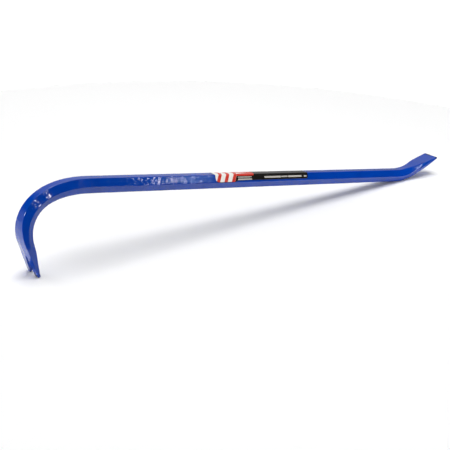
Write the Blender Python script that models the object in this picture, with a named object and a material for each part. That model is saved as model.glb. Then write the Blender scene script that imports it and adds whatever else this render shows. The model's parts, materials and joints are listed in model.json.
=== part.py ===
"""A gooseneck pry bar, 19 mm hexagonal steel forged in one piece, with its wrap-over label.

The bar is drawn along one centreline in the XZ plane, from the claw tip round the hook, along
the straight shank and up the elbow to the chisel edge. Its section has a flat on top and a
flat underneath. It stands on its claw tips and on the underside of the elbow, with the origin
under the middle of the box round it, +X towards the chisel and +Z up.
"""

import math

import bmesh
import bpy
import numpy as np

MM = 0.001

# Bar stock.
ACROSS_FLATS = 19.0
HEX_SIDE = ACROSS_FLATS / math.sqrt(3)
FACET_LEAN = math.radians(30)
CORNER_ROUND = 1.4

# The centreline, in millimetres along it from the claw tip. Each row of HOOK_BENDS is a
# distance and the radius there, and the bend tightens and opens evenly between rows.
HOOK_LENGTH = 177.0
SHANK_LENGTH = 565.0
ELBOW_RADIUS = 96.0
ELBOW_ANGLE = math.radians(26.2)
BLADE_LENGTH = 48.0
HOOK_BENDS = (
    (35.0, math.inf),
    (63.0, 41.0),
    (92.0, 39.0),
    (120.0, 88.0),
    (149.0, 138.0),
    (177.0, math.inf),
)
ELBOW_START = HOOK_LENGTH + SHANK_LENGTH
BLADE_START = ELBOW_START + ELBOW_RADIUS * ELBOW_ANGLE
BAR_LENGTH = BLADE_START + BLADE_LENGTH

# The forged ends, in millimetres: distance from the end, how far the section reaches above and
# below the centreline, whole width and width of the flat. The section changes evenly between
# rows, eased over EASING.
CLAW_SECTIONS = (
    (0.0, 2.0, 0.5, 27.2, 27.2),
    (18.0, 3.7, 2.1, 27.2, 27.2),
    (34.0, 4.7, 4.6, 27.0, 26.2),
    (45.0, 6.6, 4.3, 25.6, 23.0),
    (82.0, 9.2, 9.2, 22.9, 12.2),
    (101.0, ACROSS_FLATS / 2, ACROSS_FLATS / 2, 2 * HEX_SIDE, HEX_SIDE),
)
BLADE_SECTIONS = (
    (0.0, 0.9, 0.9, 25.5, 25.5),
    (27.0, 4.9, 4.9, 25.5, 23.8),
    (39.0, 7.0, 5.6, 25.4, 20.5),
    (64.0, ACROSS_FLATS / 2, ACROSS_FLATS / 2, 2 * HEX_SIDE, HEX_SIDE),
)
EASING = 6.0

# The claw's outer face is crowned: how far its middle stands above its edges, by distance.
CLAW_CROWN = ((0.0, 0.9), (40.0, 0.9), (70.0, 0.0))

# The nail slot: a V with a round apex. The end of each tine is rounded off, with a small
# radius outside and a large one on the slot's side.
SLOT_LENGTH = 27.0
SLOT_HALF_AT_APEX = 1.4
SLOT_HALF_AT_TIP = 4.8
TINE_OUTER_ROUND = 1.0
TINE_INNER_ROUND = 3.5

# The label, a printed film over the two upper side facets and the flat between them. Each row
# of LABEL_DROPS is a distance from its claw-side end and how far it reaches down each side.
LABEL_START = HOOK_LENGTH + 181.0
LABEL_DROPS = (
    (0.0, 5.0),
    (1.2, 8.8),
    (3.6, 10.4),
    (8.0, 10.7),
    (34.0, 10.7),
    (39.5, 8.6),
    (173.0, 8.6),
    (174.5, 7.4),
    (175.5, 5.0),
)
LABEL_GAP = 0.3
LABEL_THICKNESS = 0.2

# How finely curved stretches are divided, in millimetres.
BEND_STEP = 4.0
FINE_STEPS = (0.0, 0.3, 0.8, 1.6, 3.0, 5.0)
WALK_STEP = 0.5
CORNER_STEPS = 2


def clear_scene():
    for obj in list(bpy.data.objects):
        bpy.data.objects.remove(obj)


def walk_centreline():
    """Distances from the claw tip with x, z and heading there, in the level shank's frame."""
    distance = np.arange(0.0, BAR_LENGTH + WALK_STEP / 2, WALK_STEP)
    turn_down = np.interp(
        distance, [row[0] for row in HOOK_BENDS], [1 / row[1] for row in HOOK_BENDS]
    )
    turn_up = (distance >= ELBOW_START) & (distance < BLADE_START)
    bend = np.where(distance < HOOK_LENGTH, -turn_down, turn_up / ELBOW_RADIUS)
    heading = np.cumsum(bend) * WALK_STEP
    on_shank = round((HOOK_LENGTH + SHANK_LENGTH / 2) / WALK_STEP)
    heading -= heading[on_shank]
    x = np.cumsum(np.cos(heading)) * WALK_STEP
    z = np.cumsum(np.sin(heading)) * WALK_STEP
    x += SHANK_LENGTH / 2 - x[on_shank]
    z -= z[on_shank]
    return distance, x, z, heading


CENTRELINE = walk_centreline()


def eased(distance, knots, values):
    """Straight lines through the knots, with each corner rounded over the easing length."""
    window = np.linspace(-EASING, EASING, 9)
    return float(np.mean(np.interp(distance + window, knots, values)))


def section_sizes(distance):
    """How far the section reaches above and below the centreline, its width and its flat's."""
    from_blade = BAR_LENGTH - distance
    rows = CLAW_SECTIONS if distance < from_blade else BLADE_SECTIONS
    along = min(distance, from_blade)
    knots = [row[0] for row in rows]
    return [eased(along, knots, [row[i] for row in rows]) for i in (1, 2, 3, 4)]


def claw_crown(distance):
    return float(np.interp(distance, *zip(*CLAW_CROWN)))


def round_off(distance, radius):
    """How far a corner of this radius draws the edge in, at a distance from the end."""
    inside = max(radius - distance, 0.0)
    return radius - math.sqrt(radius**2 - inside**2)


def slot_half(distance):
    """Half the width of the nail slot at a distance from the claw tip."""
    if distance >= SLOT_LENGTH:
        return 0.0
    straight = np.interp(distance, (0, SLOT_LENGTH), (SLOT_HALF_AT_TIP, SLOT_HALF_AT_APEX))
    apex = round_off(SLOT_LENGTH - distance, SLOT_HALF_AT_APEX)
    return straight - apex + round_off(distance, TINE_INNER_ROUND)


def rounded(corners):
    """An open outline with each inner corner replaced by a short curve."""
    points = [np.array(corners[0])]
    for before, corner, after in zip(corners, corners[1:], corners[2:]):
        back = np.array(before) - corner
        on = np.array(after) - corner
        back *= min(CORNER_ROUND / np.linalg.norm(back), 0.4)
        on *= min(CORNER_ROUND / np.linalg.norm(on), 0.4)
        for t in np.linspace(0, 1, CORNER_STEPS + 1):
            points.append(corner + (1 - t) ** 2 * back + t**2 * on)
    return [*points, np.array(corners[-1])]


def half_section(distance):
    """The +Y half of the bar's outline, from its top middle or slot round to the bottom."""
    above, below, width, flat = section_sizes(distance)
    side = width / 2 - round_off(distance, TINE_OUTER_ROUND)
    edge = min(flat / 2, side)
    inner = slot_half(distance)
    crown = claw_crown(distance) * (1 - inner / edge)
    corners = (
        (inner, above + crown),
        (edge, above),
        (side, (above - below) / 2),
        (edge, -below),
        (inner, -below),
    )
    return rounded(corners)


def placed(distance, across, up):
    """A point of the section's plane in the frame of the level shank, in millimetres."""
    x, z, heading = (np.interp(distance, CENTRELINE[0], line) for line in CENTRELINE[1:])
    return np.array((x - up * math.sin(heading), across, z + up * math.cos(heading)))


def ring(distance):
    return np.array([placed(distance, across, up) for across, up in half_section(distance)])


def rotation_y(angle):
    c, s = math.cos(angle), math.sin(angle)
    return np.array(((c, 0, s), (0, 1, 0), (-s, 0, c)))


def stations():
    """Distances from the claw tip at which the section is drawn."""
    apex = [SLOT_LENGTH - d for d in FINE_STEPS]
    hook = np.arange(FINE_STEPS[-1] + BEND_STEP, HOOK_LENGTH, BEND_STEP)
    hook = [d for d in hook if d < apex[-1] - 1 or d > SLOT_LENGTH + 1]
    elbow = np.arange(ELBOW_START, BAR_LENGTH - BEND_STEP / 2, BEND_STEP)
    return sorted([*FINE_STEPS, *apex, *hook, HOOK_LENGTH, *elbow, BAR_LENGTH])


def stance():
    """The turn and the move that stand the bar on z = 0, on its claw tips and its elbow."""
    points = np.concatenate([ring(d) for d in stations()])
    claw_side = points[:, 0] < 0
    low, high = 0.0, math.pi / 4
    for _ in range(40):
        angle = (low + high) / 2
        height = (points @ rotation_y(angle).T)[:, 2]
        if height[claw_side].min() < height[~claw_side].min():
            low = angle
        else:
            high = angle
    turn = rotation_y(angle)
    points = points @ turn.T
    middle = (points[:, 0].min() + points[:, 0].max()) / 2
    return turn, np.array((-middle, 0.0, -points[:, 2].min()))


STANCE = stance()


def stand(points):
    """Points in the level shank's frame, in millimetres, as the bar stands, in metres."""
    turn, move = STANCE
    return (np.asarray(points) @ turn.T + move) * MM


def new_object(name, bm):
    bmesh.ops.recalc_face_normals(bm, faces=bm.faces)
    mesh = bpy.data.meshes.new(name)
    bm.to_mesh(mesh)
    bm.free()
    mesh.shade_smooth()
    mesh.set_sharp_from_angle(angle=math.radians(28))
    obj = bpy.data.objects.new(name, mesh)
    bpy.context.scene.collection.objects.link(obj)
    return obj


def bridge(bm, first, second, closed):
    """Faces between two rings of vertices, round the ring where it is closed."""
    for i in range(0 if closed else 1, len(first)):
        bm.faces.new((first[i - 1], first[i], second[i], second[i - 1]))


def principled(name, colour, roughness):
    material = bpy.data.materials.new(name)
    material.use_nodes = True
    shader = material.node_tree.nodes["Principled BSDF"]
    shader.inputs["Base Color"].default_value = (*colour, 1.0)
    shader.inputs["Roughness"].default_value = roughness
    return material


def make_bar():
    """Half of the bar, mirrored. Up to the apex the slot's wall closes each ring."""
    bm = bmesh.new()
    distances = stations()
    rings = [[bm.verts.new(point) for point in stand(ring(d))] for d in distances]
    for distance, first, second in zip(distances, rings, rings[1:]):
        bridge(bm, first, second, closed=distance < SLOT_LENGTH)
    bm.faces.new(rings[0])
    bm.faces.new(rings[-1])
    bar = new_object("forged_bar", bm)
    mirror = bar.modifiers.new("both_halves", "MIRROR")
    mirror.use_axis = (False, True, False)
    mirror.merge_threshold = 0.01 * MM
    bar.data.materials.append(principled("blue_enamel", (0.012, 0.055, 0.34), 0.28))


def film_half(drop, height):
    """Half of the label's section, from the middle of the top flat down the side facet."""
    down = np.array((math.sin(FACET_LEAN), -math.cos(FACET_LEAN)))
    corner = np.array((HEX_SIDE / 2 + height * math.tan(FACET_LEAN), ACROSS_FLATS / 2 + height))
    return rounded([(0.0, corner[1]), corner, corner + down * drop])


def film_ring(along, drop):
    """The label's whole section: over the bar on the outside and back on the inside."""
    points = []
    for height, way in ((LABEL_GAP + LABEL_THICKNESS, 1), (LABEL_GAP, -1)):
        half = film_half(drop, height)
        whole = [(-across, up) for across, up in half[:0:-1]] + [tuple(p) for p in half]
        points += whole[::way]
    return stand([placed(LABEL_START + along, across, up) for across, up in points])


def make_label():
    bm = bmesh.new()
    rings = [[bm.verts.new(p) for p in film_ring(*row)] for row in LABEL_DROPS]
    for first, second in zip(rings, rings[1:]):
        bridge(bm, first, second, closed=True)
    bm.faces.new(rings[0])
    bm.faces.new(rings[-1])
    label = new_object("label", bm)
    label.data.materials.append(principled("printed_film", (0.03, 0.03, 0.03), 0.3))


def main():
    clear_scene()
    make_bar()
    make_label()


main()
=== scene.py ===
"""The looks of the gooseneck pry bar: its enamelled forging, its printed label and the studio.

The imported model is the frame. Lengths are in millimetres in the level shank's own frame, where
the shank runs along +X from the end of the hook's bend, and stand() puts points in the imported
frame, in metres. The bar is a cage of rings along one centreline, subdivided and then made
slightly uneven, as a forging is.
"""

import json
import math

import bmesh
import bpy
import numpy as np
from mathutils import Euler, Matrix, Vector, noise


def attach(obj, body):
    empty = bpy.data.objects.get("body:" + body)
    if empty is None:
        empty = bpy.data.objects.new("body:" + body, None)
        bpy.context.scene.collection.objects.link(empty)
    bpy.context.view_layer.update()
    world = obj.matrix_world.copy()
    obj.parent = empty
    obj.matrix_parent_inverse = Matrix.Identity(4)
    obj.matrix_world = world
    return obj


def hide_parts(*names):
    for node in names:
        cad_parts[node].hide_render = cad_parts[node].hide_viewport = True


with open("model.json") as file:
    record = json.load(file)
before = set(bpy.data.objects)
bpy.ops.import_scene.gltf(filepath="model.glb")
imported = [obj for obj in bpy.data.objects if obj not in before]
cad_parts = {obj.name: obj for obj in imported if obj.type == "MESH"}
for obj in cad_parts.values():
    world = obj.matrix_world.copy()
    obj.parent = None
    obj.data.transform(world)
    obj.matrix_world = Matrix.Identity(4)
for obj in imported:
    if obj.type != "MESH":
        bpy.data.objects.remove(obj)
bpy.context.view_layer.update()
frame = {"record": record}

MM = 0.001

# Bar stock.
ACROSS_FLATS = 19.0
HEX_SIDE = ACROSS_FLATS / math.sqrt(3)

# The centreline, from the claw tip, as in the CAD model.
HOOK_LENGTH = 177.0
SHANK_LENGTH = 565.0
ELBOW_RADIUS = 96.0
ELBOW_ANGLE = math.radians(26.2)
BLADE_LENGTH = 48.0
HOOK_BENDS = (
    (35.0, math.inf),
    (63.0, 41.0),
    (92.0, 39.0),
    (120.0, 88.0),
    (149.0, 138.0),
    (177.0, math.inf),
)
ELBOW_START = HOOK_LENGTH + SHANK_LENGTH
BLADE_START = ELBOW_START + ELBOW_RADIUS * ELBOW_ANGLE
BAR_LENGTH = BLADE_START + BLADE_LENGTH
WALK_STEP = 0.5

# The forged ends: distance from the end, how far the section reaches above and below the
# centreline, whole width and width of the flat.
CLAW_SECTIONS = (
    (0.0, 2.0, 0.5, 27.2, 27.2),
    (18.0, 3.7, 2.1, 27.2, 27.2),
    (34.0, 4.7, 4.6, 27.0, 26.2),
    (45.0, 6.6, 4.3, 25.6, 23.0),
    (82.0, 9.2, 9.2, 22.9, 12.2),
    (101.0, ACROSS_FLATS / 2, ACROSS_FLATS / 2, 2 * HEX_SIDE, HEX_SIDE),
)
BLADE_SECTIONS = (
    (0.0, 0.9, 0.9, 25.5, 25.5),
    (27.0, 4.9, 4.9, 25.5, 23.8),
    (39.0, 7.0, 5.6, 25.4, 20.5),
    (64.0, ACROSS_FLATS / 2, ACROSS_FLATS / 2, 2 * HEX_SIDE, HEX_SIDE),
)
EASING = 6.0
EASING_SAMPLES = 9

# The claw's outer face is crowned: how far its middle stands above its edges, by distance.
CLAW_CROWN = ((0.0, 0.9), (40.0, 0.9), (70.0, 0.0))

# The nail slot and the tine ends.
SLOT_LENGTH = 27.0
SLOT_HALF_AT_APEX = 1.4
SLOT_HALF_AT_TIP = 4.8
TINE_OUTER_ROUND = 1.0
TINE_INNER_ROUND = 3.5

# The surface's unevenness: the wavelength of the noise, how high it stands on the shank and
# what full forging adds to that. The ends are fully forged up to the first distance from the
# end and not at all beyond the second.
WAVES = (26.0, 0.05, 0.16)
DENTS = (5.0, 0.004, 0.075)
DENTS_SHIFT = Vector((5, 0, 0))
FORGED_ENDS = (60.0, 120.0)

# The cage: loops on each side of every corner, rims and walls of the slot, and ring spacing,
# with a gap kept free before the rings at the slot's apex and at the blade's edge.
CORNER_LOOPS = (0.9, 2.4)
CORNER_SHARES = (0.2, 0.42)
RIM_LOOP = 0.8
RIM_SHARE = 0.3
TIP_STEPS = (0.0, 0.35, 1.0, 2.0, 3.5, 6.0)
APEX_STEPS = (0.0, 0.3, 0.8, 1.6, 3.0)
BEYOND_APEX = (0.8, 2.4)
EDGE_STEPS = (0.0, 0.4, 1.3, 3.0)
BEND_STEP = 4.0
SHANK_STEP = 12.0
RING_GAP = 1.0
MERGE_WITHIN = 0.01
SUBDIVISIONS = 2

# The label, a film over the two upper side facets and the flat between them. Each row is a
# distance from its claw-side end and how far it reaches down each side.
LABEL_START = HOOK_LENGTH + 181.0
LABEL_DROPS = (
    (0.0, 5.0),
    (1.2, 8.8),
    (3.6, 10.4),
    (8.0, 10.7),
    (34.0, 10.7),
    (39.5, 8.6),
    (173.0, 8.6),
    (174.5, 7.4),
    (175.5, 5.0),
)
LABEL_LENGTH = LABEL_DROPS[-1][0]
FILM_LIFT = 0.06
FILM_THICKNESS = 0.1

# The film's grid: its columns, and its rows, which are a step apart except where the outline
# turns. Those stretches have a start, an end and a number of rows.
FILM_COLUMNS = 41
FILM_STEP = 3.0
FILM_FINE = (
    (0.0, 8.0, 17),
    (34.0, 40.0, 7),
    (LABEL_LENGTH - 5.0, LABEL_LENGTH, 11),
)
TANGENT_STEP = 0.2

# The print, in millimetres along the label and down each side from the edge of the top flat.
# It is a block of slanting stripes, a stripe along the edge, and bars in place of words.
BORDER = 0.7
LEAN = 0.52
STRIPES_START = 6.6
STRIPES_END = 39.2
STRIPE_PITCH = 13.3
STRIPE_SHARE = 0.44
EDGE_STRIPE_END = 70.0
EDGE_STRIPE_DROP = 1.9
WEDGE_END = 62.0
WEDGE_TAPER = 0.12
BARS = (
    (40.0, 65.5, 3.2, 4.2),
    (41.0, 62.0, 4.9, 5.3),
    (40.0, 65.5, 6.2, 7.8),
    (89.4, 120.6, 3.5, 5.9),
    (122.0, 134.2, 3.7, 5.5),
    (135.6, 162.5, 3.5, 5.8),
    (167.4, 172.8, 3.8, 5.8),
)
BLACK_INK = (0.012, 0.011, 0.010, 1)
WHITE_INK = (0.86, 0.84, 0.80, 1)
RED_INK = (0.60, 0.045, 0.030, 1)
BAR_INK = (0.52, 0.50, 0.46, 1)

# The enamel. Each noise here and below has a scale, per metre, and a detail, and its range is
# the part of its values that is used. The swell and the finer peel have a height in metres. The
# peel stands at a share of it on the shank, and a whole height above that at the forged ends.
PAINT_DARK = (0.0005, 0.039, 0.32, 1)
PAINT_LIGHT = (0.001, 0.047, 0.37, 1)
TONE_NOISE = (28.0, 3.0)
SWELL_NOISE = (165.0, 1.0)
SWELL_HEIGHT = 0.00026
PEEL_NOISE = (330.0, 1.0)
PEEL_HEIGHT = 0.0001
PEEL_SHARE = 0.4
PAINT_RANGE = (0.3, 0.7)
PAINT_ROUGHNESS = (0.07, 0.12)

# The near-black tips of the paint, with a ragged inner edge: fully dark and not dark at these
# distances.
PAINT_TIP = (0.004, 0.007, 0.03, 1)
TIPS = (0.5, 5.0)
RAGGED_NOISE = (110.0, 2.0)
RAGGED_RANGE = (0.42, 0.6)

# The film's surface.
RIPPLE_NOISE = (260.0, 2.0)
RIPPLE_HEIGHT = 0.00003
SCUFF_NOISE = (90.0, 4.0)
SCUFF_RANGE = (0.35, 0.7)
FILM_ROUGHNESS = (0.07, 0.15)

# Camera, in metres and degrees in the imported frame.
CAMERA_AT = (-0.8103, -0.8815, 0.4753)
CAMERA_TURN = (67.554, -3.107, -38.956)
LENS = 72.16
SENSOR = 36.0
CLIP = (0.05, 100.0)

# The studio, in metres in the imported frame: the floor, the white surround that only the camera
# sees, and a black card in front with a bay round the bar, given by its left, right and front.
FLOOR_RADIUS = 0.8
FLOOR_DROP = 0.0002
FLOOR_COLOUR = (0.98, 0.98, 0.98, 1)
FLOOR_ROUGHNESS = 0.9
SURROUND_RADIUS = 13.5
SURROUND_RADIANCE = 1.1
CARD_BAY = (-0.365, 0.42, -0.24)
CARD_BACK = 0.02
CARD_REACH = 3.0
CARD_LIFT = 0.0004
CARD_COLOUR = (0.01, 0.01, 0.01, 1)

# The wall that the bar reflects, which is the world's. Each pair says where something begins
# and where it is complete, as a cosine or as a component of the direction looked in: the wall
# by how nearly it is faced, the low strip beside it by Y and by Z, and the dimming of both at
# the blade's end by X and by Z.
WALL_TOWARDS = (0.45, 0.85, 0.25)
WALL_RADIANCE = 0.58
WALL_EDGE = (0.74, 0.88)
STRIP_SHARE = 0.8
STRIP_BEHIND = (0.2, 0.5)
STRIP_BELOW = (0.30, 0.05)
WALL_DIMMING = 0.42
DIM_TO_RIGHT = (0.62, 0.80)
DIM_BELOW = (0.30, 0.12)

# Lamps: the point each is aimed at, azimuth (0 is -Y and 90 is +X), elevation, distance, size
# and radiance. The softboxes light everything, the fills light the pieces without being
# reflected in them, and the glints are only seen in reflections, within the spread of a grid,
# in degrees. The spots light patches of the floor that the bar reflects, and have a cone in
# degrees and a power in place of the last three values.
SOFTBOXES = {
    "softbox": ((0, 0, 0.05), 0, 90, 3.3, (2.8, 2.8), 4.5),
    "canopy": ((0, 0, 0.05), 0, 90, 3.1, (7.2, 7.2), 0.6),
}
SPOT_DISTANCE = 0.75
SPOT_SIZE = 0.05
FLOOR_SPOTS = {
    "floor_behind_claw": ((-0.402, 0.055, 0), -150, 50, 12, 11.0),
    "floor_by_elbow": ((0.35, -0.02, 0), 20, 25, 30, 5.0),
}
FILLS = {
    "front_fill": ((0.17, 0, 0.05), 20, 10, 0.6, (0.5, 0.3), 4.4),
    "left_fill": ((-0.36, 0, 0.08), -90, 12, 0.9, (0.4, 0.4), 11.0),
}
GLINT_SPREAD = 12.0
GLINTS = {
    "glint_shank": ((-0.115, 0, 0.085), 48.05, 26.0, 2.2, (0.05, 0.065), 76.0),
    "glint_bend": ((-0.25, 0, 0.10), 38, 31, 1.5, (0.07, 0.10), 1.2),
    "glint_hook": ((-0.33, -0.01, 0.10), 6, 33, 1.5, (0.03, 0.03), 260.0),
    "glint_crown": ((-0.355, -0.01, 0.093), -12, 25, 1.5, (0.03, 0.03), 260.0),
    "glint_side": ((-0.37, 0, 0.08), -88, 20, 1.5, (0.2, 0.5), 380.0),
    "glint_ridge": ((-0.24, -0.01, 0.09), 34, 9, 1.5, (0.12, 0.14), 30.0),
    "glint_blade": ((0.34, -0.01, 0.03), 30, 14, 1.5, (0.04, 0.04), 160.0),
}


# The bar's shape.


def walk_centreline():
    """Distances from the claw tip with x, z and heading there."""
    distance = np.arange(0.0, BAR_LENGTH + WALK_STEP / 2, WALK_STEP)
    turn_down = np.interp(
        distance, [row[0] for row in HOOK_BENDS], [1 / row[1] for row in HOOK_BENDS]
    )
    turn_up = (distance >= ELBOW_START) & (distance < BLADE_START)
    bend = np.where(distance < HOOK_LENGTH, -turn_down, turn_up / ELBOW_RADIUS)
    heading = np.cumsum(bend) * WALK_STEP
    on_shank = round((HOOK_LENGTH + SHANK_LENGTH / 2) / WALK_STEP)
    heading -= heading[on_shank]
    x = np.cumsum(np.cos(heading)) * WALK_STEP
    z = np.cumsum(np.sin(heading)) * WALK_STEP
    x += SHANK_LENGTH / 2 - x[on_shank]
    z -= z[on_shank]
    return distance, x, z, heading


CENTRELINE = walk_centreline()


def placement():
    """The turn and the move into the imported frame, read off the mount under mid-shank."""
    mount = frame["record"]["mounts"][0]
    angle = math.atan2(-mount["axis"][0], -mount["axis"][2])
    c, s = math.cos(angle), math.sin(angle)
    turn = np.array(((c, 0, s), (0, 1, 0), (-s, 0, c)))
    under_shank = turn @ (SHANK_LENGTH / 2, 0, -ACROSS_FLATS / 2)
    return turn, np.array(mount["pos_m"]) / MM - under_shank


PLACEMENT = placement()


def stand(points):
    """Points in the level shank's frame, in millimetres, as the bar stands, in metres."""
    turn, move = PLACEMENT
    return (np.asarray(points) @ turn.T + move) * MM


def placed(distance, outline):
    """An outline in the section's plane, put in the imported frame, in metres."""
    x, z, heading = (np.interp(distance, CENTRELINE[0], line) for line in CENTRELINE[1:])
    across, up = np.array(outline).T
    along_x = x - up * math.sin(heading)
    along_z = z + up * math.cos(heading)
    return stand(np.column_stack((along_x, across, along_z)))


def eased(distance, knots, values):
    """Straight lines through the knots, with each corner rounded over the easing length."""
    window = np.linspace(-EASING, EASING, EASING_SAMPLES)
    return float(np.mean(np.interp(distance + window, knots, values)))


def section_sizes(distance):
    """How far the section reaches above and below the centreline, its width and its flat's."""
    from_blade = BAR_LENGTH - distance
    rows = CLAW_SECTIONS if distance < from_blade else BLADE_SECTIONS
    along = min(distance, from_blade)
    knots = [row[0] for row in rows]
    return [eased(along, knots, [row[i] for row in rows]) for i in (1, 2, 3, 4)]


def claw_crown(distance):
    return float(np.interp(distance, *zip(*CLAW_CROWN)))


def round_off(distance, radius):
    """How far a corner of this radius draws the edge in, at a distance from the end."""
    inside = max(radius - distance, 0.0)
    return radius - math.sqrt(radius**2 - inside**2)


def slot_half(distance):
    """Half the width of the nail slot at a distance from the claw tip."""
    if distance >= SLOT_LENGTH:
        return 0.0
    straight = np.interp(distance, (0, SLOT_LENGTH), (SLOT_HALF_AT_TIP, SLOT_HALF_AT_APEX))
    apex = round_off(SLOT_LENGTH - distance, SLOT_HALF_AT_APEX)
    return straight - apex + round_off(distance, TINE_INNER_ROUND)


def step_towards(start, end, length, share):
    """A point on the way from start to end, at most that length and that share along it."""
    way = np.array(end) - start
    return np.array(start) + way * min(length / np.linalg.norm(way), share)


def with_corner_loops(corners):
    """An open outline with two points on each side of every inner corner."""
    points = []
    loops = list(zip(CORNER_LOOPS, CORNER_SHARES))
    for before, corner, after in zip(corners, corners[1:], corners[2:]):
        points += [step_towards(corner, before, *loop) for loop in reversed(loops)]
        points.append(np.array(corner))
        points += [step_towards(corner, after, *loop) for loop in loops]
    return points


def half_section(distance):
    """The cage's +Y half outline, from the top middle or the slot's wall to the bottom."""
    above, below, width, flat = section_sizes(distance)
    side = width / 2 - round_off(distance, TINE_OUTER_ROUND)
    edge = min(flat / 2, side)
    inner = slot_half(distance)
    top = (inner, above + claw_crown(distance) * (1 - inner / edge))
    bottom = (inner, -below)
    corners = (top, (edge, above), (side, (above - below) / 2), (edge, -below), bottom)
    points = [
        top,
        step_towards(top, corners[1], RIM_LOOP, RIM_SHARE),
        *with_corner_loops(corners),
        step_towards(bottom, corners[3], RIM_LOOP, RIM_SHARE),
        bottom,
    ]
    if distance > SLOT_LENGTH:
        return points
    wall_top = step_towards(top, bottom, RIM_LOOP, RIM_SHARE)
    wall_bottom = step_towards(bottom, top, RIM_LOOP, RIM_SHARE)
    return [wall_top, *points, wall_bottom]


def stations():
    """Distances from the claw tip at which the cage has a ring."""
    apex = [SLOT_LENGTH - d for d in reversed(APEX_STEPS)]
    apex += [SLOT_LENGTH + d for d in BEYOND_APEX]
    edge = [BAR_LENGTH - d for d in reversed(EDGE_STEPS)]
    tines = np.arange(TIP_STEPS[-1] + BEND_STEP, apex[0] - RING_GAP, BEND_STEP)
    hook = np.arange(apex[-1] + BEND_STEP, HOOK_LENGTH, BEND_STEP)
    shank = np.linspace(HOOK_LENGTH, ELBOW_START, round(SHANK_LENGTH / SHANK_STEP) + 1)
    elbow = np.arange(ELBOW_START + BEND_STEP, edge[0] - RING_GAP, BEND_STEP)
    return [*TIP_STEPS, *tines, *apex, *hook, *shank, *elbow, *edge]


def close_end(bm, ring):
    """Closes an end of the cage with strips from its upper half to its lower half."""
    for i in range(len(ring) // 2 - 1):
        j = len(ring) - 1 - i
        bm.faces.new((ring[i], ring[i + 1], ring[j - 1], ring[j]))


def make_cage():
    """Half of the cage, mirrored. Up to the slot's apex its wall closes each ring."""
    bm = bmesh.new()
    along = bm.verts.layers.float.new("along")
    rings = []
    for distance in stations():
        ring = [bm.verts.new(p) for p in placed(distance, half_section(distance))]
        for vertex in ring:
            vertex[along] = distance
        rings.append((distance, ring))
    for (_, first), (distance, second) in zip(rings, rings[1:]):
        slotted = distance <= SLOT_LENGTH
        if len(first) > len(second):
            first = first[1:-1]
        for i in range(0 if slotted else 1, len(first)):
            bm.faces.new((first[i - 1], first[i], second[i], second[i - 1]))
    close_end(bm, rings[0][1])
    close_end(bm, rings[-1][1])
    everything = bm.verts[:] + bm.edges[:] + bm.faces[:]
    bmesh.ops.mirror(bm, geom=everything, matrix=Matrix(), merge_dist=MERGE_WITHIN * MM, axis="Y")
    bmesh.ops.recalc_face_normals(bm, faces=bm.faces)
    return bm


def new_object(name, bm):
    mesh = bpy.data.meshes.new(name)
    bm.to_mesh(mesh)
    bm.free()
    mesh.shade_smooth()
    obj = bpy.data.objects.new(name, mesh)
    bpy.context.scene.collection.objects.link(obj)
    return obj


def apply_modifiers(obj):
    """Replaces the object's mesh with what its modifiers make of it."""
    graph = bpy.context.evaluated_depsgraph_get()
    mesh = bpy.data.meshes.new_from_object(obj.evaluated_get(graph))
    obj.modifiers.clear()
    obj.data = mesh


def forged_share(along):
    """How far the hammer and the dies have worked the bar there, from 0 to 1."""
    from_end = min(along, BAR_LENGTH - along)
    return float(np.interp(from_end, FORGED_ENDS, (1, 0)))


def unevenness(point, along):
    """How far the surface stands proud there, in millimetres."""
    waves = noise.noise(point / (WAVES[0] * MM))
    dents = noise.noise(point / (DENTS[0] * MM) + DENTS_SHIFT)
    forged = forged_share(along)
    return waves * (WAVES[1] + WAVES[2] * forged) + dents * (DENTS[1] + DENTS[2] * forged)


def roughen(mesh):
    along = mesh.attributes["along"].data
    normals = [v.normal.copy() for v in mesh.vertices]
    for vertex, normal, here in zip(mesh.vertices, normals, along):
        vertex.co += normal * unevenness(vertex.co, here.value) * MM


def make_bar():
    bar = new_object("enamelled_bar", make_cage())
    subdivide = bar.modifiers.new("subdivide", "SUBSURF")
    subdivide.levels = SUBDIVISIONS
    subdivide.render_levels = SUBDIVISIONS
    apply_modifiers(bar)
    roughen(bar.data)
    return bar


# The label's shape.


def spline_outline(points, steps=6):
    """A uniform cubic spline round closed control points, which subdivision tends to."""
    before, after, beyond = (np.roll(points, -i, axis=0) for i in (0, 2, 3))
    at = np.roll(points, -1, axis=0)
    outline = []
    for i in range(len(points)):
        for t in np.arange(steps) / steps:
            shares = ((1 - t) ** 3, 3 * t**3 - 6 * t**2 + 4, 1 + 3 * t + 3 * t**2 - 3 * t**3, t**3)
            ends = (before[i], at[i], after[i], beyond[i])
            outline.append(sum(s * p for s, p in zip(shares, ends)) / 6)
    return np.array(outline)


def shank_profile():
    """The top half of the shank's outline by distance round it from the top middle."""
    half = half_section(HOOK_LENGTH + SHANK_LENGTH / 2)
    ring = np.array(half + [(-across, up) for across, up in half[-2:0:-1]])
    outline = spline_outline(ring)
    outline = np.roll(outline, -np.argmin(np.abs(outline[:, 0]) - outline[:, 1]), axis=0)
    steps = np.linalg.norm(np.diff(outline, axis=0), axis=1)
    return np.concatenate(((0.0,), np.cumsum(steps))), outline


def film_point(profile, around, lift):
    """Where a point of the film lies in the section's plane, at a signed distance around."""
    round_to, outline = profile
    at = abs(around)
    here, ahead = (
        np.array([np.interp(distance, round_to, outline[:, i]) for i in (0, 1)])
        for distance in (at, at + TANGENT_STEP)
    )
    tangent = (ahead - here) / np.linalg.norm(ahead - here)
    point = here + lift * np.array((-tangent[1], tangent[0]))
    return np.array((point[0] * (1 if around >= 0 else -1), point[1]))


def film_steps():
    """Distances along the film of its grid's rows, close together where its outline turns."""
    fine = [np.linspace(*stretch) for stretch in FILM_FINE]
    coarse = np.arange(FILM_FINE[0][1], FILM_FINE[-1][0], FILM_STEP)
    return np.unique(np.concatenate((coarse, *fine)))


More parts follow.
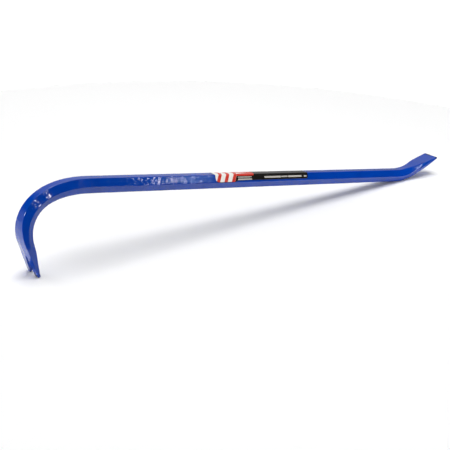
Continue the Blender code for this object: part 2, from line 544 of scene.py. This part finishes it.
def make_film_grid():
    """The film as a grid of strips along the shank, with its print's coordinates kept."""
    profile = shank_profile()
    bm = bmesh.new()
    print_at = bm.verts.layers.float_vector.new("print_at")
    rows = []
    for along in film_steps():
        reach = HEX_SIDE / 2 + np.interp(along, *zip(*LABEL_DROPS))
        row = []
        for share in np.linspace(-1, 1, FILM_COLUMNS):
            point = film_point(profile, share * reach, FILM_LIFT)
            place = placed(LABEL_START + along, [point])[0]
            vertex = bm.verts.new(place)
            vertex[print_at] = (along, abs(share) * reach, (1 - abs(share)) * reach)
            row.append(vertex)
        rows.append(row)
    for first, second in zip(rows, rows[1:]):
        for i in range(1, len(first)):
            bm.faces.new((first[i - 1], first[i], second[i], second[i - 1]))
    bmesh.ops.recalc_face_normals(bm, faces=bm.faces)
    return bm


def make_label():
    """The film, following the shank's unevenness under it and given its thickness."""
    label = new_object("printed_label", make_film_grid())
    for vertex in label.data.vertices:
        vertex.co += vertex.normal * unevenness(vertex.co, LABEL_START) * MM
    thicken = label.modifiers.new("thicken", "SOLIDIFY")
    thicken.thickness = FILM_THICKNESS * MM
    thicken.offset = 1.0
    return label


# Materials.


def new_material(name):
    material = bpy.data.materials.new(name)
    material.use_nodes = True
    return material, material.node_tree, material.node_tree.nodes["Principled BSDF"]


def add_node(tree, kind, inputs, **settings):
    """A new node with its settings made and its inputs set, or linked where given a socket."""
    made = tree.nodes.new("ShaderNode" + kind)
    for name, value in settings.items():
        setattr(made, name, value)
    for name, value in inputs.items():
        if isinstance(value, bpy.types.NodeSocket):
            tree.links.new(value, made.inputs[name])
        else:
            made.inputs[name].default_value = value
    return made


def calc(tree, operation, a, b=0.0):
    return add_node(tree, "Math", {0: a, 1: b}, operation=operation).outputs[0]


def within(tree, value, low, high):
    """1 where the value lies between low and high, and 0 elsewhere."""
    above = calc(tree, "GREATER_THAN", value, low)
    return calc(tree, "MULTIPLY", above, calc(tree, "LESS_THAN", value, high))


def either(tree, *masks):
    found = masks[0]
    for mask in masks[1:]:
        found = calc(tree, "MAXIMUM", found, mask)
    return found


def inked(tree, below, mask, ink):
    """The colour below, with the ink over it where the mask is 1."""
    mixed = add_node(tree, "Mix", {"Factor": mask}, data_type="RGBA")
    colour_a, colour_b = (socket for socket in mixed.inputs if socket.type == "RGBA")
    if isinstance(below, bpy.types.NodeSocket):
        tree.links.new(below, colour_a)
    else:
        colour_a.default_value = below
    colour_b.default_value = ink
    return next(socket for socket in mixed.outputs if socket.type == "RGBA")


def band(tree, value, low, high, strength):
    """Rises smoothly from 0 to the strength as the value goes from low to high."""
    ranged = add_node(
        tree, "MapRange",
        {"Value": value, "From Min": low, "From Max": high, "To Max": strength},
        interpolation_type="SMOOTHSTEP",
    )
    return ranged.outputs["Result"]


def noise_value(tree, where, scale, detail):
    inputs = {"Vector": where, "Scale": scale, "Detail": detail}
    return add_node(tree, "TexNoise", inputs).outputs["Fac"]


def roughness(tree, value, value_range, limits):
    """Roughness that goes from one limit to the other as the value goes through its range."""
    inputs = {"Value": value}
    inputs["From Min"], inputs["From Max"] = value_range
    inputs["To Min"], inputs["To Max"] = limits
    return add_node(tree, "MapRange", inputs).outputs["Result"]


def bumped(tree, height, distance, **over):
    """The normal, raised by the height times the distance, over another normal if given."""
    inputs = {"Height": height, "Strength": 1.0, "Distance": distance, **over}
    return add_node(tree, "Bump", inputs).outputs["Normal"]


def set_surface(tree, shader, colour, rough, normal):
    tree.links.new(colour, shader.inputs["Base Color"])
    tree.links.new(rough, shader.inputs["Roughness"])
    tree.links.new(normal, shader.inputs["Normal"])


def end_mask(tree, full, none):
    """1 up to the first distance from either end of the bar, fading to 0 at the second."""
    along = add_node(tree, "Attribute", {}, attribute_name="along").outputs["Fac"]
    from_end = calc(tree, "MINIMUM", along, calc(tree, "SUBTRACT", BAR_LENGTH, along))
    return band(tree, from_end, none, full, 1.0)


def enamel_colour(tree, where):
    """Blue that varies a little, and is near black at the tips."""
    colour = add_node(tree, "ValToRGB", {"Fac": noise_value(tree, where, *TONE_NOISE)})
    ramp = zip(colour.color_ramp.elements, PAINT_RANGE, (PAINT_DARK, PAINT_LIGHT))
    for element, position, paint in ramp:
        element.position = position
        element.color = paint
    ragged = band(tree, noise_value(tree, where, *RAGGED_NOISE), *RAGGED_RANGE, 1.0)
    tips = calc(tree, "MULTIPLY", end_mask(tree, *TIPS), ragged)
    return inked(tree, colour.outputs["Color"], tips, PAINT_TIP)


def enamel():
    """Glossy blue enamel with a swell and orange peel, deeper at the forged ends."""
    material, tree, shader = new_material("blue_enamel")
    where = add_node(tree, "TexCoord", {}).outputs["Object"]
    swell = noise_value(tree, where, *SWELL_NOISE)
    depth = calc(tree, "ADD", PEEL_SHARE, end_mask(tree, *FORGED_ENDS))
    peel = calc(tree, "MULTIPLY", noise_value(tree, where, *PEEL_NOISE), depth)
    rough = roughness(tree, swell, PAINT_RANGE, PAINT_ROUGHNESS)
    normal = bumped(tree, peel, PEEL_HEIGHT, Normal=bumped(tree, swell, SWELL_HEIGHT))
    set_surface(tree, shader, enamel_colour(tree, where), rough, normal)
    return material


def printed_colour(tree):
    """Black film with a white and red striped block, a red edge and pale bars."""
    place = add_node(tree, "Attribute", {}, attribute_name="print_at").outputs["Vector"]
    along, around, to_edge = add_node(tree, "SeparateXYZ", {0: place}).outputs
    drop = calc(tree, "SUBTRACT", around, HEX_SIDE / 2)
    slanted = calc(tree, "ADD", along, calc(tree, "MULTIPLY", drop, LEAN))
    inside = calc(
        tree, "MULTIPLY",
        calc(tree, "GREATER_THAN", along, BORDER), calc(tree, "GREATER_THAN", to_edge, BORDER),
    )

    block = within(tree, slanted, -STRIPES_END, STRIPES_END)
    turns = calc(tree, "DIVIDE", calc(tree, "SUBTRACT", slanted, STRIPES_START), STRIPE_PITCH)
    on_stripe = calc(tree, "LESS_THAN", calc(tree, "FRACT", turns), STRIPE_SHARE)
    in_stripes = within(tree, slanted, STRIPES_START, STRIPES_END)
    stripes = calc(tree, "MULTIPLY", on_stripe, in_stripes)

    edge = calc(
        tree, "MULTIPLY",
        within(tree, slanted, STRIPES_END, EDGE_STRIPE_END),
        calc(tree, "LESS_THAN", drop, EDGE_STRIPE_DROP),
    )
    wedge_half = calc(tree, "MULTIPLY", calc(tree, "SUBTRACT", WEDGE_END, along), WEDGE_TAPER)
    wedge = calc(tree, "MULTIPLY", edge, calc(tree, "LESS_THAN", around, wedge_half))

    bars = [
        calc(tree, "MULTIPLY", within(tree, along, *bar[:2]), within(tree, drop, *bar[2:]))
        for bar in BARS
    ]
    white = calc(tree, "MULTIPLY", inside, either(tree, block, wedge))
    red = calc(tree, "MULTIPLY", inside, either(tree, stripes, edge))
    red = calc(tree, "SUBTRACT", red, wedge)
    colour = inked(tree, BLACK_INK, white, WHITE_INK)
    colour = inked(tree, colour, red, RED_INK)
    return inked(tree, colour, either(tree, *bars), BAR_INK)


def film():
    """Gloss vinyl film, printed, and slightly rippled by the paint under it."""
    material, tree, shader = new_material("printed_film")
    where = add_node(tree, "TexCoord", {}).outputs["Object"]
    scuff = noise_value(tree, where, *SCUFF_NOISE)
    rough = roughness(tree, scuff, SCUFF_RANGE, FILM_ROUGHNESS)
    normal = bumped(tree, noise_value(tree, where, *RIPPLE_NOISE), RIPPLE_HEIGHT)
    set_surface(tree, shader, printed_colour(tree), rough, normal)
    return material


# The studio.


def make_camera():
    data = bpy.data.cameras.new("camera")
    data.lens = LENS
    data.sensor_width = SENSOR
    data.clip_start, data.clip_end = CLIP
    camera = bpy.data.objects.new("camera", data)
    camera.location = CAMERA_AT
    camera.rotation_euler = Euler([math.radians(a) for a in CAMERA_TURN])
    bpy.context.scene.collection.objects.link(camera)
    bpy.context.scene.camera = camera


def make_floor():
    bm = bmesh.new()
    bmesh.ops.create_circle(bm, cap_ends=True, segments=96, radius=FLOOR_RADIUS)
    floor = new_object("floor", bm)
    floor.location.z = -FLOOR_DROP
    material, _, shader = new_material("white_floor")
    shader.inputs["Base Color"].default_value = FLOOR_COLOUR
    shader.inputs["Roughness"].default_value = FLOOR_ROUGHNESS
    floor.data.materials.append(material)
    return floor


def make_surround():
    bm = bmesh.new()
    bmesh.ops.create_icosphere(bm, subdivisions=4, radius=SURROUND_RADIUS)
    surround = new_object("white_surround", bm)
    material, _, shader = new_material("white_surround")
    shader.inputs["Base Color"].default_value = (0, 0, 0, 1)
    shader.inputs["Emission Color"].default_value = (1, 1, 1, 1)
    shader.inputs["Emission Strength"].default_value = SURROUND_RADIANCE
    surround.data.materials.append(material)
    surround.visible_diffuse = False
    surround.visible_glossy = False
    surround.visible_shadow = False
    surround.visible_transmission = False


def make_world():
    """A dark room with a pale wall behind the bar and a low strip beside it."""
    world = bpy.data.worlds.new("studio")
    world.use_nodes = True
    tree = world.node_tree
    towards = add_node(tree, "TexCoord", {}).outputs["Generated"]
    facing = add_node(
        tree, "VectorMath",
        {0: towards, 1: Vector(WALL_TOWARDS).normalized()}, operation="DOT_PRODUCT",
    ).outputs["Value"]
    parts = add_node(tree, "SeparateXYZ", {0: towards})
    wall = band(tree, facing, *WALL_EDGE, WALL_RADIANCE)
    behind = band(tree, parts.outputs["Y"], *STRIP_BEHIND, 1.0)
    strip = band(tree, parts.outputs["Z"], *STRIP_BELOW, WALL_RADIANCE * STRIP_SHARE)
    pale = calc(tree, "MAXIMUM", wall, calc(tree, "MULTIPLY", strip, behind))
    to_right = band(tree, parts.outputs["X"], *DIM_TO_RIGHT, WALL_DIMMING)
    below = band(tree, parts.outputs["Z"], *DIM_BELOW, 1.0)
    dimmed = calc(tree, "SUBTRACT", 1.0, calc(tree, "MULTIPLY", to_right, below))
    strength = calc(tree, "MULTIPLY", pale, dimmed)
    tree.links.new(strength, tree.nodes["Background"].inputs["Strength"])
    tree.nodes["Background"].inputs["Color"].default_value = (1, 1, 1, 1)
    bpy.context.scene.world = world


def make_front_card():
    """A black card on the floor in front, seen only in reflections, with a bay round the bar."""
    bm = bmesh.new()
    left, right, front = CARD_BAY
    rows = [
        [bm.verts.new((x, y, CARD_LIFT)) for x in (-CARD_REACH, left, right, CARD_REACH)]
        for y in (-CARD_REACH, front, CARD_BACK)
    ]
    # The tile that is left out, at row 1 and column 1, is the bay.
    for row, column in ((0, 0), (0, 1), (0, 2), (1, 0), (1, 2)):
        near, far = (line[column:column + 2] for line in rows[row:row + 2])
        bm.faces.new((*near, *reversed(far)))
    card = new_object("black_card", bm)
    material, _, shader = new_material("black_card")
    shader.inputs["Base Color"].default_value = CARD_COLOUR
    card.data.materials.append(material)
    card.visible_camera = False
    card.visible_diffuse = False
    card.visible_shadow = False


def hang(lamp, aimed_at, azimuth, elevation, distance):
    """Puts a lamp in that direction from the point it is aimed at."""
    a, e = math.radians(azimuth), math.radians(elevation)
    way = Vector((math.sin(a) * math.cos(e), -math.cos(a) * math.cos(e), math.sin(e)))
    lamp.location = Vector(aimed_at) + way * distance
    lamp.rotation_euler = way.to_track_quat("Z", "Y").to_euler()
    lamp.visible_camera = False
    bpy.context.scene.collection.objects.link(lamp)
    return lamp


def make_lamp(name, aimed_at, azimuth, elevation, distance, size, radiance):
    """An elliptical lamp of that size and radiance."""
    data = bpy.data.lights.new(name, "AREA")
    data.shape = "ELLIPSE"
    data.size, data.size_y = size
    data.energy = radiance * math.pi * math.pi / 4 * size[0] * size[1]
    return hang(bpy.data.objects.new(name, data), aimed_at, azimuth, elevation, distance)


def add_grid(lamp, spread):
    """Narrows the cone the lamp is seen from, and keeps its radiance on its axis."""
    half = math.radians(spread) / 2
    lamp.data.spread = 2 * half
    lamp.data.energy *= 1 - half / math.tan(half)


def make_spotlight(name, aimed_at, azimuth, elevation, cone, power):
    data = bpy.data.lights.new(name, "SPOT")
    data.energy = power
    data.spot_size = math.radians(cone)
    data.spot_blend = 1.0
    data.shadow_soft_size = SPOT_SIZE
    spotlight = bpy.data.objects.new(name, data)
    return hang(spotlight, aimed_at, azimuth, elevation, SPOT_DISTANCE)


def gathered(name, *objects):
    """A collection that a lamp can be told to light alone."""
    collection = bpy.data.collections.new(name)
    for obj in objects:
        collection.objects.link(obj)
    return collection


def make_studio(pieces):
    lit_pieces = gathered("lit_pieces", *pieces)
    lit_floor = gathered("lit_floor", make_floor())
    make_surround()
    make_world()
    make_front_card()
    for name, lamp in SOFTBOXES.items():
        make_lamp(name, *lamp)
    for name, spot in FLOOR_SPOTS.items():
        make_spotlight(name, *spot).light_linking.receiver_collection = lit_floor
    for name, lamp in FILLS.items():
        fill = make_lamp(name, *lamp)
        fill.visible_glossy = False
        fill.light_linking.receiver_collection = lit_pieces
    for name, lamp in GLINTS.items():
        glint = make_lamp(name, *lamp)
        glint.visible_diffuse = False
        add_grid(glint, GLINT_SPREAD)
    bpy.context.scene.view_settings.view_transform = "Standard"


def main():
    make_camera()
    bar = make_bar()
    bar.data.materials.append(enamel())
    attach(bar, "root")
    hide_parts("forged_bar")
    label = make_label()
    label.data.materials.append(film())
    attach(label, "root")
    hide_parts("label")
    make_studio((bar, label))


main()
